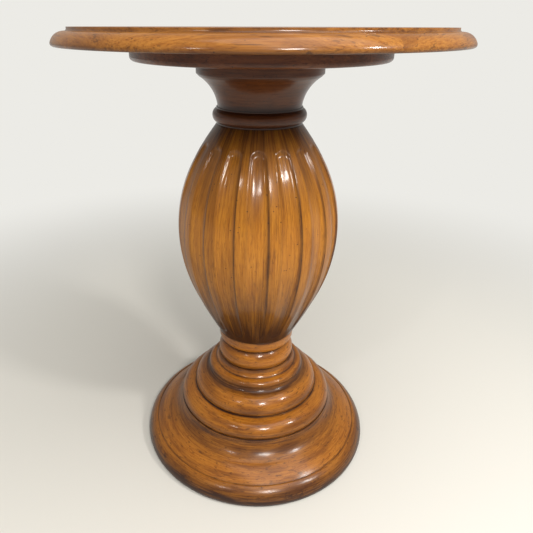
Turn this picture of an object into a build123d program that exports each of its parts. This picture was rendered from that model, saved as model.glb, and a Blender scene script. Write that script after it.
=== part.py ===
"""Pedestal side table: round moulded top, fluted urn column and stepped turned base.

Millimetres, +Z up. The origin is on the floor, at the centre of the base.
"""
from build123d import *
import os
from math import cos, radians, sin, tan

os.makedirs("parts", exist_ok=True)

# Overall sizes
table_height = 641.0
top_radius = 254.0
plinth_radius = 186.5

# Heights of the stacked pieces, from the floor up; the urn takes what is left
glide_thickness = 2.0
plinth_height = 69.0
base_ring_height = 24.0
riser_height = 85.0
collar_height = 22.0
neck_ring_height = 21.5
capital_height = 58.0
subtop_thickness = 18.0
top_thickness = 20.0

# Radii of the turnings, from the floor up
plinth_shoulder_radius = 126.5
base_ring_radius = 125.0
riser_foot_radius = 101.4
riser_nosing_radius = 77.0
riser_cushion_radius = 59.5
collar_radius = 60.3
urn_foot_radius = 61.0
urn_belly_radius = 117.0
urn_neck_radius = 58.0
neck_ring_radius = 63.9
capital_neck_radius = 56.6
capital_radius = 84.0
subtop_radius = 166.0

# Flutes of the urn
flute_count = 16
flute_angle = 15.0
flute_depth = 4.8
flute_top = 0.915
flute_bottom = 0.07

# Top: a plain round panel, framed by a moulded rim in glued segments
rim_width = 64.0
lip_width = 19.5
segment_count = 6
first_joint_angle = -61.0
tongue_width = 8.0
tongue_thickness = 6.0
spline_length = 24.0
spline_width = 20.0
spline_thickness = 4.0

# Turned spigots that key the column together, and their sockets
neck_spigot_radius = 32.0
foot_spigot_radius = 30.0
riser_spigot_radius = 60.0
socket_depth = 15.0
fit_clearance = 0.15
end_clearance = 0.5

# Tie rod, washers and nuts
rod_radius = 5.0
rod_bore_radius = 5.5
washer_radius = 15.0
washer_thickness = 2.5
nut_flats = 16.0
nut_height = 8.0
rod_end = 2.0
nut_pocket_radius = 17.0
base_pocket_depth = 22.0
subtop_pocket_depth = 8.0
pocket_headroom = 1.5

# Screws, dowels and glides
screw_count = 8
screw_circle_radius = 135.0
screw_length = 30.0
screw_shank_radius = 2.2
screw_head_radius = 4.2
screw_head_angle = 82.0
dowel_radius = 5.0
dowel_length = 30.0
dowel_offset = 40.0
dowel_in_subtop = 10.0
glide_count = 4
glide_radius = 12.0
glide_circle_radius = 160.0

# Levels of the joints between the stacked pieces
plinth_level = glide_thickness
base_ring_level = plinth_level + plinth_height
riser_level = base_ring_level + base_ring_height
collar_level = riser_level + riser_height
urn_level = collar_level + collar_height
top_level = table_height - top_thickness
subtop_level = top_level - subtop_thickness
capital_level = subtop_level - capital_height
neck_ring_level = capital_level - neck_ring_height
urn_height = neck_ring_level - urn_level

panel_radius = top_radius - rim_width
lip_radius = top_radius - lip_width
spline_radius = (panel_radius + tongue_width + lip_radius) / 2

bore_radius_neck = neck_spigot_radius + fit_clearance
bore_radius_foot = foot_spigot_radius + fit_clearance
bore_radius_riser = riser_spigot_radius + fit_clearance
pocket_floor_level = plinth_level + base_pocket_depth
subtop_pocket_level = top_level - subtop_pocket_depth
rod_bottom = pocket_floor_level - washer_thickness - nut_height - rod_end
rod_top = subtop_pocket_level + washer_thickness + nut_height + rod_end


# Plinth: the broad foot turning, a cove running out to a thick rounded rim
with BuildPart() as base_plinth:
    with BuildSketch(Plane.XZ):
        with BuildLine():
            shoulder = (plinth_shoulder_radius, base_ring_level)
            fillet_foot = (plinth_shoulder_radius + 1.2, base_ring_level - 2.5)
            cove_foot = (plinth_shoulder_radius + 13.5, base_ring_level - 22.5)
            step_top = (plinth_radius - 21.5, plinth_level + 25.5)
            step_foot = (plinth_radius - 20.3, plinth_level + 24.2)
            rim_start = (plinth_radius - 19, plinth_level + 24.6)
            rim_side = (plinth_radius, plinth_level + 4.5)
            rim_foot = (plinth_radius - 1.8, plinth_level)
            Line(shoulder, fillet_foot)
            SagittaArc(fillet_foot, cove_foot, -2.2)
            SagittaArc(cove_foot, step_top, 1.2)
            Polyline(step_top, step_foot, rim_start)
            SagittaArc(rim_start, rim_side, 2.4)
            SagittaArc(rim_side, rim_foot, 0.5)
            Polyline(
                rim_foot,
                (rod_bore_radius, plinth_level),
                (rod_bore_radius, base_ring_level),
                shoulder,
            )
        make_face()
    revolve(axis=Axis.Z)
    with BuildSketch(Plane.XY.offset(base_ring_level)):
        Circle(bore_radius_riser)
    extrude(amount=-socket_depth - end_clearance, mode=Mode.SUBTRACT)
    with BuildSketch(Plane.XY.offset(plinth_level)):
        Circle(nut_pocket_radius)
    extrude(amount=base_pocket_depth, mode=Mode.SUBTRACT)
base_plinth.part.label = "base_plinth"
export_step(base_plinth.part, "parts/base_plinth.step")


# Base ring: a half-round turning slipped over the riser's spigot
with BuildPart() as base_ring:
    with BuildSketch(Plane.XZ):
        with BuildLine():
            groove_top = (riser_foot_radius - 1, riser_level)
            torus_top = (riser_foot_radius + 1.6, riser_level - 1.2)
            torus_foot = (base_ring_radius, base_ring_level + 3)
            groove_foot = (base_ring_radius - 1.8, base_ring_level)
            Line(groove_top, torus_top)
            SagittaArc(torus_top, torus_foot, 6.2)
            Polyline(
                torus_foot,
                groove_foot,
                (bore_radius_riser, base_ring_level),
                (bore_radius_riser, riser_level),
                groove_top,
            )
        make_face()
    revolve(axis=Axis.Z)
base_ring.part.label = "base_ring"
export_step(base_ring.part, "parts/base_ring.step")


# Riser: cushion, small cove, nosing and bell, with a spigot into the plinth
with BuildPart() as base_riser:
    with BuildSketch(Plane.XZ):
        with BuildLine():
            cushion_top = (riser_cushion_radius - 5.5, collar_level)
            cushion_foot = (riser_cushion_radius - 0.6, collar_level - 27)
            quirk = (riser_cushion_radius - 1.2, collar_level - 29)
            bead_top = (riser_cushion_radius + 1.2, collar_level - 30)
            cove_end = (riser_nosing_radius - 11.5, collar_level - 40)
            nosing_top = (riser_nosing_radius - 8.5, collar_level - 41)
            nosing_side = (riser_nosing_radius, collar_level - 48)
            nosing_foot = (riser_nosing_radius - 1.2, collar_level - 51.5)
            bell_top = (riser_nosing_radius + 6, collar_level - 58)
            bell_foot = (riser_foot_radius, riser_level + 2.5)
            SagittaArc(cushion_top, cushion_foot, 3.6)
            Polyline(cushion_foot, quirk, bead_top)
            SagittaArc(bead_top, cove_end, -1.2)
            Line(cove_end, nosing_top)
            SagittaArc(nosing_top, nosing_side, 2.2)
            Line(nosing_side, nosing_foot)
            SagittaArc(nosing_foot, bell_top, -1.4)
            SagittaArc(bell_top, bell_foot, 4.6)
            Polyline(
                bell_foot,
                (riser_foot_radius - 1, riser_level),
                (riser_spigot_radius, riser_level),
                (riser_spigot_radius, base_ring_level - socket_depth),
                (rod_bore_radius, base_ring_level - socket_depth),
                (rod_bore_radius, collar_level),
                cushion_top,
            )
        make_face()
    revolve(axis=Axis.Z)
    with BuildSketch(Plane.XY.offset(collar_level)):
        Circle(bore_radius_foot)
    extrude(amount=-socket_depth - end_clearance, mode=Mode.SUBTRACT)
base_riser.part.label = "base_riser"
export_step(base_riser.part, "parts/base_riser.step")


# Collar: the band under the urn, slipped over the urn's spigot
with BuildPart() as collar:
    with BuildSketch(Plane.XZ):
        with BuildLine():
            band_foot = (collar_radius - 6, collar_level)
            band_low = (collar_radius - 0.8, collar_level + 8)
            band_high = (collar_radius, urn_level - 2)
            band_top = (collar_radius - 1.5, urn_level)
            SagittaArc(band_foot, band_low, -1.5)
            Polyline(
                band_low,
                band_high,
                band_top,
                (bore_radius_foot, urn_level),
                (bore_radius_foot, collar_level),
                band_foot,
            )
        make_face()
    revolve(axis=Axis.Z)
collar.part.label = "collar"
export_step(collar.part, "parts/collar.step")


# Urn: its outline is one smooth curve from foot to neck
with BuildLine() as urn_outline:
    Spline(
        (urn_foot_radius, urn_level),
        (urn_belly_radius * 0.895, urn_level + urn_height * 0.29),
        (urn_belly_radius, urn_level + urn_height * 0.557),
        (urn_belly_radius * 0.815, urn_level + urn_height * 0.832),
        (urn_neck_radius, neck_ring_level),
    )
urn_curve = urn_outline.edge()

# A flute is cut by a round-nosed cutter that follows the outline. Its width is a fixed
# angle of the urn, so the radius of the cutter grows and shrinks with the urn.
half_width = sin(radians(flute_angle / 2))
depth_share = flute_depth / urn_belly_radius
cutter_share = (half_width**2 + depth_share**2) / (2 * depth_share)
station_count = 7
nose_allowance = 0.4

cutter_planes = []
cutter_radii = []
for station in range(station_count):
    share = flute_bottom + (flute_top - flute_bottom) * station / (station_count - 1)
    on_curve = Plane.XZ.from_local_coords(urn_curve.position_at(share))
    along = Plane.XZ.from_local_coords(urn_curve.tangent_at(share))
    outward = Vector(along.Z, 0, -along.X)
    cutter_radius = cutter_share * on_curve.X
    centre = on_curve + outward * (cutter_radius - depth_share * on_curve.X)
    cutter_planes.append(Plane(origin=centre, x_dir=outward, z_dir=along))
    cutter_radii.append(cutter_radius)

with BuildPart(mode=Mode.PRIVATE) as flute_cutter:
    for plane, radius in zip(cutter_planes, cutter_radii):
        with BuildSketch(plane):
            Circle(radius)
    loft()

with BuildPart() as urn:
    with BuildSketch(Plane.XZ):
        with BuildLine():
            add(urn_curve)
            Polyline(
                (urn_neck_radius, neck_ring_level),
                (bore_radius_neck, neck_ring_level),
                (bore_radius_neck, neck_ring_level - socket_depth - end_clearance),
                (rod_bore_radius, neck_ring_level - socket_depth - end_clearance),
                (rod_bore_radius, collar_level - socket_depth),
                (foot_spigot_radius, collar_level - socket_depth),
                (foot_spigot_radius, urn_level),
                (urn_foot_radius, urn_level),
            )
        make_face()
    revolve(axis=Axis.Z)
    with PolarLocations(0, flute_count, start_angle=-90):
        add(flute_cutter.part, mode=Mode.SUBTRACT)
    for end in (0, -1):
        nose_centre = cutter_planes[end].origin
        with Locations(Plane.XY.offset(nose_centre.Z)):
            with PolarLocations(nose_centre.X, flute_count, start_angle=-90):
                Sphere(cutter_radii[end] + nose_allowance, mode=Mode.SUBTRACT)
urn.part.label = "urn"
export_step(urn.part, "parts/urn.step")


# Neck ring: a half-round ring under the capital, slipped over the capital's spigot
with BuildPart() as neck_ring:
    with BuildSketch(Plane.XZ):
        with BuildLine():
            fillet_width = 1.5
            ring_seat = neck_ring_radius - 5.6
            ring_foot = (ring_seat, neck_ring_level + fillet_width)
            ring_side = (neck_ring_radius, neck_ring_level + neck_ring_height / 2)
            ring_top = (ring_seat, capital_level - fillet_width)
            Line((ring_seat, neck_ring_level), ring_foot)
            ThreePointArc(ring_foot, ring_side, ring_top)
            Polyline(
                ring_top,
                (ring_seat, capital_level),
                (bore_radius_neck, capital_level),
                (bore_radius_neck, neck_ring_level),
                (ring_seat, neck_ring_level),
            )
        make_face()
    revolve(axis=Axis.Z)
neck_ring.part.label = "neck_ring"
export_step(neck_ring.part, "parts/neck_ring.step")


# Capital: a flared head with a deep cove, and a spigot through the neck ring
with BuildPart() as capital:
    with BuildSketch(Plane.XZ):
        with BuildLine():
            flange_foot = (capital_radius, subtop_level - 16)
            cove_top = (capital_radius - 3.5, subtop_level - 19.5)
            cove_low = (capital_neck_radius, capital_level + 3)
            Line((capital_radius, subtop_level), flange_foot)
            Line(flange_foot, cove_top)
            SagittaArc(cove_top, cove_low, -6.0)
            Polyline(
                cove_low,
                (capital_neck_radius, capital_level),
                (neck_spigot_radius, capital_level),
                (neck_spigot_radius, neck_ring_level - socket_depth),
                (rod_bore_radius, neck_ring_level - socket_depth),
                (rod_bore_radius, subtop_level),
                (capital_radius, subtop_level),
            )
        make_face()
    revolve(axis=Axis.Z)
    with Locations(Plane.XY.offset(subtop_level)):
        with GridLocations(2 * dowel_offset, 0, 2, 1):
            Hole(
                radius=dowel_radius + fit_clearance,
                depth=dowel_length - dowel_in_subtop + end_clearance,
            )
capital.part.label = "capital"
export_step(capital.part, "parts/capital.step")


# Subtop: the disc between the column and the top, screwed up into the panel
with BuildPart() as subtop_disc:
    with BuildSketch(Plane.XY.offset(subtop_level)):
        Circle(subtop_radius)
        Circle(rod_bore_radius, mode=Mode.SUBTRACT)
    extrude(amount=subtop_thickness)
    rim_edge = subtop_disc.edges().filter_by(GeomType.CIRCLE).group_by(Axis.Z)[0]
    fillet(rim_edge.sort_by(SortBy.RADIUS)[-1], radius=5)
    with BuildSketch(Plane.XY.offset(subtop_pocket_level)):
        Circle(nut_pocket_radius)
    extrude(amount=subtop_pocket_depth, mode=Mode.SUBTRACT)
    with BuildSketch(Plane.XY.offset(subtop_level)):
        with GridLocations(2 * dowel_offset, 0, 2, 1):
            Circle(dowel_radius + fit_clearance)
    extrude(amount=dowel_in_subtop + end_clearance, mode=Mode.SUBTRACT)
    with Locations(Plane.XY.offset(subtop_level).rotated((180, 0, 0))):
        with PolarLocations(screw_circle_radius, screw_count, start_angle=22.5):
            CounterSinkHole(
                radius=screw_shank_radius + fit_clearance,
                counter_sink_radius=screw_head_radius + fit_clearance,
                counter_sink_angle=screw_head_angle,
                depth=subtop_thickness,
            )
subtop_disc.part.label = "subtop_disc"
export_step(subtop_disc.part, "parts/subtop_disc.step")


# Top panel, with a tongue all round that enters the groove of the rim
tongue_level = top_level + (top_thickness - tongue_thickness) / 2
with BuildPart() as top_panel:
    with BuildSketch(Plane.XY.offset(top_level)):
        Circle(panel_radius)
    extrude(amount=top_thickness)
    with BuildSketch(Plane.XY.offset(tongue_level)):
        Circle(panel_radius + tongue_width)
    extrude(amount=tongue_thickness)
    with BuildSketch(Plane.XY.offset(top_level)):
        Circle(nut_pocket_radius)
    extrude(amount=rod_top - top_level + pocket_headroom, mode=Mode.SUBTRACT)
    with BuildSketch(Plane.XY.offset(top_level)):
        with PolarLocations(screw_circle_radius, screw_count, start_angle=22.5):
            Circle(screw_shank_radius + fit_clearance)
    extrude(amount=screw_length - subtop_thickness + end_clearance, mode=Mode.SUBTRACT)
top_panel.part.label = "top_panel"
export_step(top_panel.part, "parts/top_panel.step")


# Rim segments: the moulded edge of the top, sawn and glued end to end in a ring
spline_middle = top_level + top_thickness / 2
for index in range(segment_count):
    start_angle = first_joint_angle + index * 360 / segment_count
    end_angle = start_angle + 360 / segment_count
    start_plane = Plane(
        origin=(0, 0, 0),
        x_dir=(cos(radians(start_angle)), sin(radians(start_angle)), 0),
        z_dir=(sin(radians(start_angle)), -cos(radians(start_angle)), 0),
    )
    with BuildPart() as rim_segment:
        with BuildSketch(start_plane):
            with BuildLine():
                lip_edge = (lip_radius, table_height)
                lip_foot = (lip_radius, table_height - 2.4)
                ovolo_top = (lip_radius + 4, table_height - 4.2)
                ovolo_side = (top_radius, top_level + 3.6)
                ovolo_foot = (top_radius - 2, top_level)
                Line(lip_edge, lip_foot)
                SagittaArc(lip_foot, ovolo_top, -0.8)
                SagittaArc(ovolo_top, ovolo_side, 3.9)
                SagittaArc(ovolo_side, ovolo_foot, 0.8)
                Polyline(
                    ovolo_foot,
                    (panel_radius, top_level),
                    (panel_radius, table_height),
                    lip_edge,
                )
            make_face()
            groove_depth = tongue_width + end_clearance
            with Locations((panel_radius + groove_depth / 2, tongue_level + tongue_thickness / 2)):
                Rectangle(
                    groove_depth,
                    tongue_thickness + fit_clearance,
                    mode=Mode.SUBTRACT,
                )
        revolve(axis=Axis.Z, revolution_arc=360 / segment_count)
        with Locations(Plane.XY.offset(spline_middle)):
            for joint_angle in (start_angle, end_angle):
                with PolarLocations(spline_radius, 1, start_angle=joint_angle):
                    Box(
                        spline_length + fit_clearance,
                        spline_width + fit_clearance,
                        spline_thickness + fit_clearance,
                        mode=Mode.SUBTRACT,
                    )
    rim_segment.part.label = f"rim_segment_{index + 1}"
    export_step(rim_segment.part, f"parts/rim_segment_{index + 1}.step")


# Rim splines: loose tongues glued across the joints of the rim
with BuildPart() as rim_splines:
    with Locations(Plane.XY.offset(spline_middle)):
        with PolarLocations(spline_radius, segment_count, start_angle=first_joint_angle):
            Box(spline_length, spline_width, spline_thickness)
rim_splines.part.label = "rim_splines"
export_step(rim_splines.part, "parts/rim_splines.step")


# Tie rod: clamps the subtop, the column and the base together
with BuildPart() as tie_rod:
    with BuildSketch(Plane.XY.offset(rod_bottom)):
        Circle(rod_radius)
    extrude(amount=rod_top - rod_bottom)
    chamfer(tie_rod.edges().filter_by(GeomType.CIRCLE), length=1)
tie_rod.part.label = "tie_rod"
export_step(tie_rod.part, "parts/tie_rod.step")


# Washers and nuts: one pair in the subtop's pocket, one in the plinth's
clamp_ends = {"top": (subtop_pocket_level, 1), "base": (pocket_floor_level, -1)}
for end_name, (seat_level, direction) in clamp_ends.items():
    with BuildPart() as washer:
        with BuildSketch(Plane.XY.offset(seat_level)):
            Circle(washer_radius)
            Circle(rod_bore_radius, mode=Mode.SUBTRACT)
        extrude(amount=direction * washer_thickness)
    washer.part.label = f"{end_name}_washer"
    export_step(washer.part, f"parts/{end_name}_washer.step")

    with BuildPart() as nut:
        with BuildSketch(Plane.XY.offset(seat_level + direction * washer_thickness)):
            RegularPolygon(nut_flats / 2, 6, major_radius=False)
            Circle(rod_radius + fit_clearance, mode=Mode.SUBTRACT)
        extrude(amount=direction * nut_height)
    nut.part.label = f"{end_name}_nut"
    export_step(nut.part, f"parts/{end_name}_nut.step")


# Screws: countersunk, up through the subtop into the panel
screw_head_height = (screw_head_radius - screw_shank_radius) / tan(radians(screw_head_angle / 2))
with BuildPart() as top_screws:
    with Locations(Plane.XY.offset(subtop_level)):
        with PolarLocations(screw_circle_radius, screw_count, start_angle=22.5):
            Cone(
                bottom_radius=screw_head_radius,
                top_radius=screw_shank_radius,
                height=screw_head_height,
                align=(Align.CENTER, Align.CENTER, Align.MIN),
            )
            Cylinder(
                radius=screw_shank_radius,
                height=screw_length,
                align=(Align.CENTER, Align.CENTER, Align.MIN),
            )
top_screws.part.label = "top_screws"
export_step(top_screws.part, "parts/top_screws.step")


# Dowels: keep the subtop from turning on the capital
with BuildPart() as locating_dowels:
    with BuildSketch(Plane.XY.offset(subtop_level + dowel_in_subtop)):
        with GridLocations(2 * dowel_offset, 0, 2, 1):
            Circle(dowel_radius)
    extrude(amount=-dowel_length)
    chamfer(locating_dowels.edges().filter_by(GeomType.CIRCLE), length=0.8)
locating_dowels.part.label = "locating_dowels"
export_step(locating_dowels.part, "parts/locating_dowels.step")


# Glides: felt pads under the plinth
with BuildPart() as glides:
    with BuildSketch(Plane.XY):
        with PolarLocations(glide_circle_radius, glide_count, start_angle=45):
            Circle(glide_radius)
    extrude(amount=glide_thickness)
glides.part.label = "glides"
export_step(glides.part, "parts/glides.step")
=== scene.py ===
"""Pedestal side table in stained, lacquered wood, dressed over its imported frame. Metres, +Z up."""

from math import asin, atan, cos, hypot, pi, radians, sin

import bmesh
import bpy
from mathutils import Matrix, Vector, noise


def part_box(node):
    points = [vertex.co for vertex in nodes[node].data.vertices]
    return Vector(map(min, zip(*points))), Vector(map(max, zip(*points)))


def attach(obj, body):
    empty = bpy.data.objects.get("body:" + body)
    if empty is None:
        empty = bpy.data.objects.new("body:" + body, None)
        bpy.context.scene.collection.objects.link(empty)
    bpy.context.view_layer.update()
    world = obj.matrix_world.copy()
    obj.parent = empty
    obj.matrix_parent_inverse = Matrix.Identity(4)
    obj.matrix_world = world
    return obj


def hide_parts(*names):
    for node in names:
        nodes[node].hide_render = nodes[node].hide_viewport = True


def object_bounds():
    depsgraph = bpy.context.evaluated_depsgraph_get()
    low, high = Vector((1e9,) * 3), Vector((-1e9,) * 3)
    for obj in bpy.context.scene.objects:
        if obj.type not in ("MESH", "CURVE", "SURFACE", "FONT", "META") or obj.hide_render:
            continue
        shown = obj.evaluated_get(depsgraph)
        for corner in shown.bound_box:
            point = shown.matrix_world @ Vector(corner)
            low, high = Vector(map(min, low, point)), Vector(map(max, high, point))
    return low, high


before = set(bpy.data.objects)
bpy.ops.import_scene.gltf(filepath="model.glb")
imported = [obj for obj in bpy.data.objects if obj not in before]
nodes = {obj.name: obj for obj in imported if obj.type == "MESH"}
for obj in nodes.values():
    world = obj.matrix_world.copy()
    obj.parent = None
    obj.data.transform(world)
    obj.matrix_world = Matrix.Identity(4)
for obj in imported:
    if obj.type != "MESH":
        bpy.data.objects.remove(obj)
cad_low, cad_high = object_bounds()
scene = bpy.context.scene


# Rim of the top. Six curved boards are sawn out of solid hardwood, glued end to end round the
# panel and moulded with a small lip, a shallow cove and a broad ovolo. The grain of each board
# runs straight, so it meets the next at an angle.
def bow(start, end, sagitta):
    """Points after start up to end, as (radius, height).

    A positive sagitta bulges to the left of the way. Long straight runs have few points away
    from their ends, where no crease or edge marks them.
    """
    pitch, long_run, kept_end, thinning = 0.0012, 0.020, 0.006, 8
    across, rise = end[0] - start[0], end[1] - start[1]
    chord = hypot(across, rise)
    steps = max(2, int(chord / pitch))
    kept = range(1, steps + 1)
    if sagitta == 0 and chord > long_run:
        kept = [step for step in kept if step % thinning == 0
                or min(step / steps, 1 - step / steps) * chord < kept_end]
    points = []
    for step in kept:
        share = step / steps
        along, lift = share, 0.0
        if sagitta != 0:
            radius = (chord * chord / 4 + sagitta * sagitta) / (2 * abs(sagitta))
            half_angle = asin(min(1.0, chord / 2 / radius))
            turn = (2 * share - 1) * half_angle
            along = 0.5 + radius * sin(turn) / chord
            lift = (radius * cos(turn) - radius * cos(half_angle)) / chord
            lift = lift if sagitta > 0 else -lift
        points.append((start[0] + along * across - lift * rise,
                       start[1] + along * rise + lift * across))
    return points


def run_of(moves):
    """An outline from its start point and the moves after it, each (end point, sagitta)."""
    points = [moves[0]]
    for end, sagitta in moves[1:]:
        points += bow(points[-1], end, sagitta)
    return points


def nearness(point, marks):
    """The strongest mark at a point. Each is (place, strength, reach), gone at twice its reach."""
    best = 0.0
    for place, strength, reach in marks:
        gap = hypot(point[0] - place[0], point[1] - place[1]) / reach
        best = max(best, strength * max(0.0, 1 - gap * gap / 4) ** 3)
    return best


def facing_out(mesh, fill_holes=False):
    """Turns the faces of a mesh outward, after closing its open ends where asked."""
    work = bmesh.new()
    work.from_mesh(mesh)
    if fill_holes:
        open_edges = [edge for edge in work.edges if edge.is_boundary]
        bmesh.ops.holes_fill(work, edges=open_edges)
    bmesh.ops.recalc_face_normals(work, faces=work.faces)
    work.to_mesh(mesh)
    work.free()


def turned_piece(name, outline, creases, edges, turn_steps=288, start=0.0, sweep=2 * pi,
                 grain_turn=0.0, ringwise=False):
    """A solid turned from a closed outline, whole or as a sector.

    Its points keep their grain place, the dark glaze of the creases with the painted shade of shaded
    faces, and the wear of the edges.
    Ringwise grain runs round the axis, and changes with the way along the outline.
    """
    whole = sweep == 2 * pi
    columns = turn_steps if whole else turn_steps + 1
    rows = len(outline)
    vertices = []
    faces = []
    for column in range(columns):
        angle = start + sweep * column / turn_steps
        for radius, height in outline:
            vertices.append((radius * cos(angle), radius * sin(angle), height))
    for column in range(turn_steps):
        here = column * rows
        there = ((column + 1) % columns) * rows
        for row in range(rows):
            after = (row + 1) % rows
            faces.append((here + row, here + after, there + after, there + row))
    if not whole:
        faces.append(tuple(range(rows)))
        faces.append(tuple(range((columns - 1) * rows, columns * rows))[::-1])
    mesh = bpy.data.meshes.new(name)
    mesh.from_pydata(vertices, [], faces)
    glaze_and_shade = mesh.attributes.new("glaze_and_shade", "FLOAT", "POINT")
    rub = mesh.attributes.new("rub", "FLOAT", "POINT")
    grain = mesh.attributes.new("grain", "FLOAT_VECTOR", "POINT")
    glaze_and_shade.data.foreach_set("value", [nearness(point, creases) for point in outline] * columns)
    rub.data.foreach_set("value", [nearness(point, edges) for point in outline] * columns)
    to_board = Matrix.Rotation(-grain_turn, 3, "Z")
    way = [0.0]
    for first, second in zip(outline, outline[1:]):
        way.append(way[-1] + hypot(second[0] - first[0], second[1] - first[1]))
    flat = []
    for number, vertex in enumerate(vertices):
        place = to_board @ Vector(vertex)
        flat.extend((place.x, place.y, way[number % rows]) if ringwise else place)
    grain.data.foreach_set("vector", flat)
    facing_out(mesh)
    mesh.shade_smooth()
    mesh.set_sharp_from_angle(angle=radians(50))
    piece = bpy.data.objects.new(name, mesh)
    scene.collection.objects.link(piece)
    return piece


def link(tree, source, target):
    tree.links.new(source, target)


def math_node(tree, operation, *values, clamp=False):
    """One sum on numbers or sockets."""
    node = tree.nodes.new("ShaderNodeMath")
    node.operation = operation
    node.use_clamp = clamp
    for socket, value in zip(node.inputs, values):
        if isinstance(value, (int, float)):
            socket.default_value = value
        else:
            link(tree, value, socket)
    return node.outputs[0]


def noise_node(tree, vector, stretch, detail, roughness, offset=0.0):
    """Noise, finer along an axis where its stretch is larger."""
    mapping = tree.nodes.new("ShaderNodeMapping")
    mapping.inputs["Scale"].default_value = stretch
    mapping.inputs["Location"].default_value = (offset, offset * 0.7, offset * 1.3)
    link(tree, vector, mapping.inputs["Vector"])
    node = tree.nodes.new("ShaderNodeTexNoise")
    node.inputs["Scale"].default_value = 1.0
    node.inputs["Detail"].default_value = detail
    node.inputs["Roughness"].default_value = roughness
    link(tree, mapping.outputs[0], node.inputs["Vector"])
    return node.outputs[0]


def ramp_node(tree, value, low, high):
    """A soft step from 0 at low to 1 at high; low may be the larger."""
    node = tree.nodes.new("ShaderNodeMapRange")
    node.interpolation_type = "SMOOTHSTEP"
    node.inputs["From Min"].default_value = low
    node.inputs["From Max"].default_value = high
    link(tree, value, node.inputs["Value"])
    return node.outputs[0]


def blend_colour(tree, amount, first, second):
    """A blend of two colours or colour sockets, all second where the amount is 1."""
    node = tree.nodes.new("ShaderNodeMix")
    node.data_type = "RGBA"
    link(tree, amount, node.inputs[0])
    colour_a, colour_b, result = node.inputs[6], node.inputs[7], node.outputs[2]
    for socket, value in ((colour_a, first), (colour_b, second)):
        if isinstance(value, tuple):
            socket.default_value = (*value, 1.0)
        else:
            link(tree, value, socket)
    return result


def attribute_node(tree, name, output="Fac"):
    """A mesh attribute that turned_piece or the urn's nodes stored."""
    node = tree.nodes.new("ShaderNodeAttribute")
    node.attribute_name = name
    return node.outputs[output]


def bump_node(tree, height, strength, distance, target):
    """Sends a bump from a height to a normal socket."""
    node = tree.nodes.new("ShaderNodeBump")
    node.inputs["Strength"].default_value = strength
    node.inputs["Distance"].default_value = distance
    link(tree, height, node.inputs["Height"])
    link(tree, node.outputs[0], target)


def roughness_range(tree, value, least, most, target):
    """Sends a value of 0 to 1 to a roughness socket, as least to most."""
    node = tree.nodes.new("ShaderNodeMapRange")
    node.inputs["To Min"].default_value = least
    node.inputs["To Max"].default_value = most
    link(tree, value, node.inputs["Value"])
    link(tree, node.outputs[0], target)


def new_material(name):
    """A new node material, with its tree and its shader."""
    material = bpy.data.materials.new(name)
    material.use_nodes = True
    return material, material.node_tree, material.node_tree.nodes["Principled BSDF"]


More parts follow.
